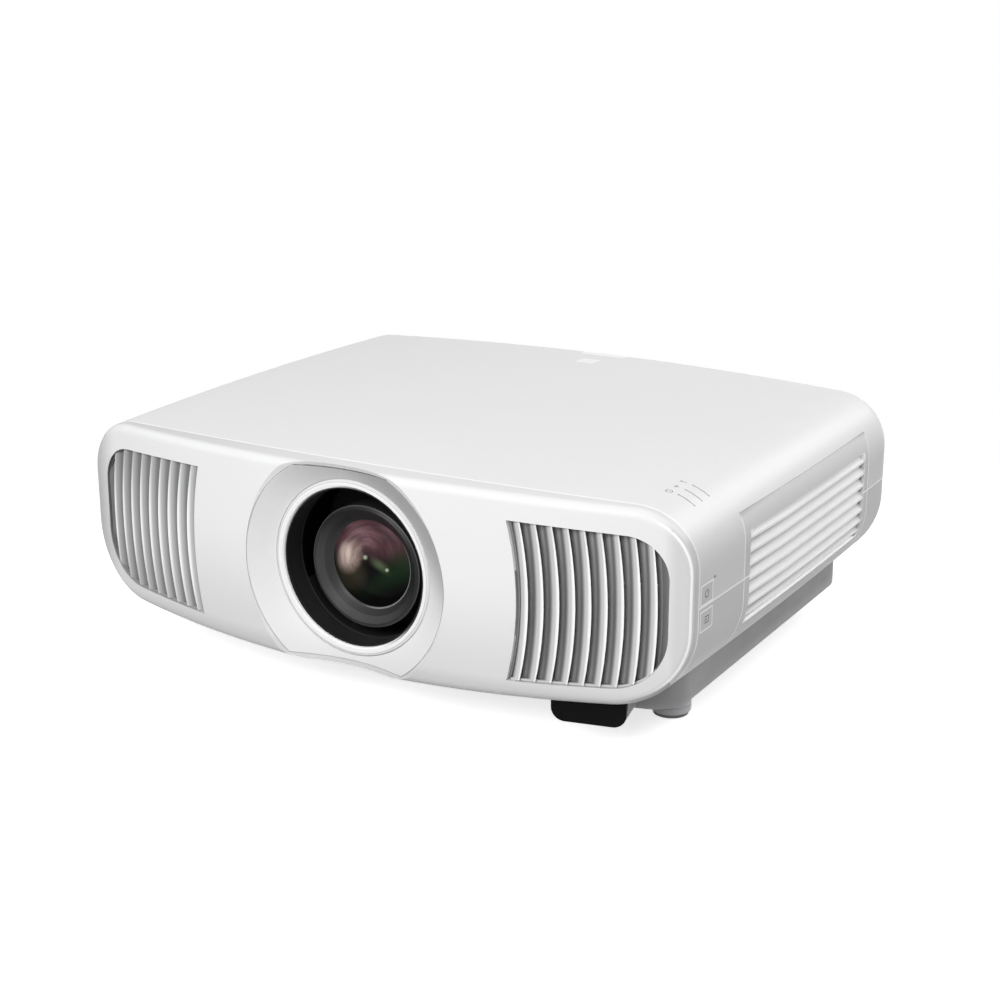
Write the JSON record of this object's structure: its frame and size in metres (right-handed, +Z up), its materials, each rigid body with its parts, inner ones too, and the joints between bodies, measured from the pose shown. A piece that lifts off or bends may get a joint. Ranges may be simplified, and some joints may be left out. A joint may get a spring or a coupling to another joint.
{
  "type": "home projector",
  "caption": "Wide white home-cinema projector with a recessed centre lens, curved front exhaust louvres, a side filter cover, a rear connector bay and adjustable front feet.",
  "frame": {"origin": "on the floor under the centre of the case", "axes": "+X to the right seen from the front, the lens faces -Y, +Z up"},
  "size_m": [0.5197, 0.4454, 0.193],
  "materials": {
    "white_case": "satin",
    "white_front": "semi-gloss",
    "dish_white": "satin",
    "lip_white": "gloss",
    "black_plastic": "semi-matte",
    "lens_metal": "satin black",
    "lens_glass": "coated",
    "base_grey": "matte",
    "foot_rubber": "matte",
    "receiver_black": "gloss",
    "light_pipe": "translucent",
    "filter_fabric": "pleated",
    "cast_aluminium": "cast",
    "steel": "ground",
    "brass": "turned",
    "board_green": "solder mask",
    "socket_metal": "plated"
  },
  "bodies": {
    "case": {"top_cover": "white_case", "lower_case": "white_case", "front_panel": "white_front", "grille_left": "white_front", "grille_right": "white_front", "lens_bezel": "dish_white", "lens_lip": "lip_white", "top_plate": "lip_white", "rear_window": "lip_white", "lens_hood": "black_plastic", "rear_panel": "black_plastic", "ac_inlet": "black_plastic", "trigger_jack": "black_plastic", "exhaust_frames": "black_plastic", "intake_frame": "black_plastic", "fan_ducts": "black_plastic", "prism_block": "lens_glass", "base_pan": "base_grey", "receiver_housing": "base_grey", "rear_feet": "foot_rubber", "receiver_window": "receiver_black", "status_lights": "light_pipe", "lens_mount": "cast_aluminium", "optical_engine": "cast_aluminium", "laser_module": "cast_aluminium", "heat_sink": "cast_aluminium", "lift_rods": "steel", "case_screws": "steel", "mount_inserts": "brass", "foot_nuts": "brass", "switch_board": "board_green", "power_board": "board_green", "main_board": "board_green", "hdmi_ports": "socket_metal", "usb_port": "socket_metal", "lan_port": "socket_metal", "serial_port": "socket_metal"},
    "left_sole": {"foot_sole_left": "foot_rubber"},
    "left_screw": {"foot_screw_left": "base_grey"},
    "right_sole": {"foot_sole_right": "foot_rubber"},
    "right_screw": {"foot_screw_right": "base_grey"},
    "power_key": {"power_button": "white_case"},
    "source_key": {"source_button": "white_case"},
    "filter_door": {"filter_cover": "white_case", "filter_frame": "black_plastic", "filter_media": "filter_fabric"},
    "lens_lift": {"lift_plate": "cast_aluminium", "cross_rods": "steel"},
    "lens_cross": {"cross_plate": "cast_aluminium", "lens_barrel": "lens_metal", "rear_lens": "lens_glass", "zoom_motor": "steel", "dust_shield": "black_plastic"},
    "lens_focus": {"focus_barrel": "lens_metal", "front_lens": "lens_glass"},
    "zoom_gear": {"zoom_ring": "lens_metal"},
    "zoom_drive": {"zoom_pinion": "brass"},
    "left_fan": {"exhaust_rotor_left": "black_plastic"},
    "right_fan": {"exhaust_rotor_right": "black_plastic"},
    "intake_fan": {"intake_rotor": "black_plastic"}
  },
  "joints": [
    {"name": "left_foot_travel", "type": "slide", "parent": "case", "child": "left_sole", "axis": [0, 0, -1], "range_m": [0, 0.018]},
    {"name": "left_foot_turn", "type": "hinge", "parent": "left_sole", "child": "left_screw", "pos_m": [-0.1985, -0.09035, 0], "axis": [0, 0, -1], "range_deg": [0, 2160]},
    {"name": "right_foot_travel", "type": "slide", "parent": "case", "child": "right_sole", "axis": [0, 0, -1], "range_m": [0, 0.018]},
    {"name": "right_foot_turn", "type": "hinge", "parent": "right_sole", "child": "right_screw", "pos_m": [0.1985, -0.09035, 0], "axis": [0, 0, -1], "range_deg": [0, 2160]},
    {"name": "power_press", "type": "slide", "parent": "case", "child": "power_key", "axis": [-1, 0, 0], "range_m": [0, 0.0008], "stiffness_N_per_m": 600},
    {"name": "source_press", "type": "slide", "parent": "case", "child": "source_key", "axis": [-1, 0, 0], "range_m": [0, 0.0008], "stiffness_N_per_m": 600},
    {"name": "filter_pull", "type": "slide", "parent": "case", "child": "filter_door", "axis": [1, 0, 0], "range_m": [0, 0.07]},
    {"name": "lens_shift_vertical", "type": "slide", "parent": "case", "child": "lens_lift", "axis": [0, 0, 1], "range_m": [-0.0049, 0.0129]},
    {"name": "lens_shift_horizontal", "type": "slide", "parent": "lens_lift", "child": "lens_cross", "axis": [1, 0, 0], "range_m": [-0.0077, 0.0077]},
    {"name": "lens_focus_travel", "type": "slide", "parent": "lens_cross", "child": "lens_focus", "axis": [0, 1, 0], "range_m": [-0.0025, 0.0025]},
    {"name": "zoom_turn", "type": "hinge", "parent": "lens_cross", "child": "zoom_gear", "pos_m": [0, -0.12435, 0.1075], "axis": [0, 1, 0], "range_deg": [-25, 25]},
    {"name": "zoom_pinion_turn", "type": "hinge", "parent": "lens_cross", "child": "zoom_drive", "pos_m": [0.051, -0.12435, 0.1075], "axis": [0, 1, 0], "range_deg": [-158, 158]},
    {"name": "left_fan_spin", "type": "hinge", "parent": "case", "child": "left_fan", "pos_m": [-0.18905, -0.16235, 0.1115], "axis": [0, 1, 0], "continuous": true},
    {"name": "right_fan_spin", "type": "hinge", "parent": "case", "child": "right_fan", "pos_m": [0.18905, -0.16235, 0.1115], "axis": [0, 1, 0], "continuous": true},
    {"name": "intake_fan_spin", "type": "hinge", "parent": "case", "child": "intake_fan", "pos_m": [0.2005, 0.01765, 0.1115], "axis": [1, 0, 0], "continuous": true}
  ],
  "couplings": [
    {"joint": "left_foot_turn", "follows": "left_foot_travel", "rad_per_m": 2094.4},
    {"joint": "right_foot_turn", "follows": "right_foot_travel", "rad_per_m": 2094.4},
    {"joint": "zoom_pinion_turn", "follows": "zoom_turn", "ratio": -6.2857}
  ]
}
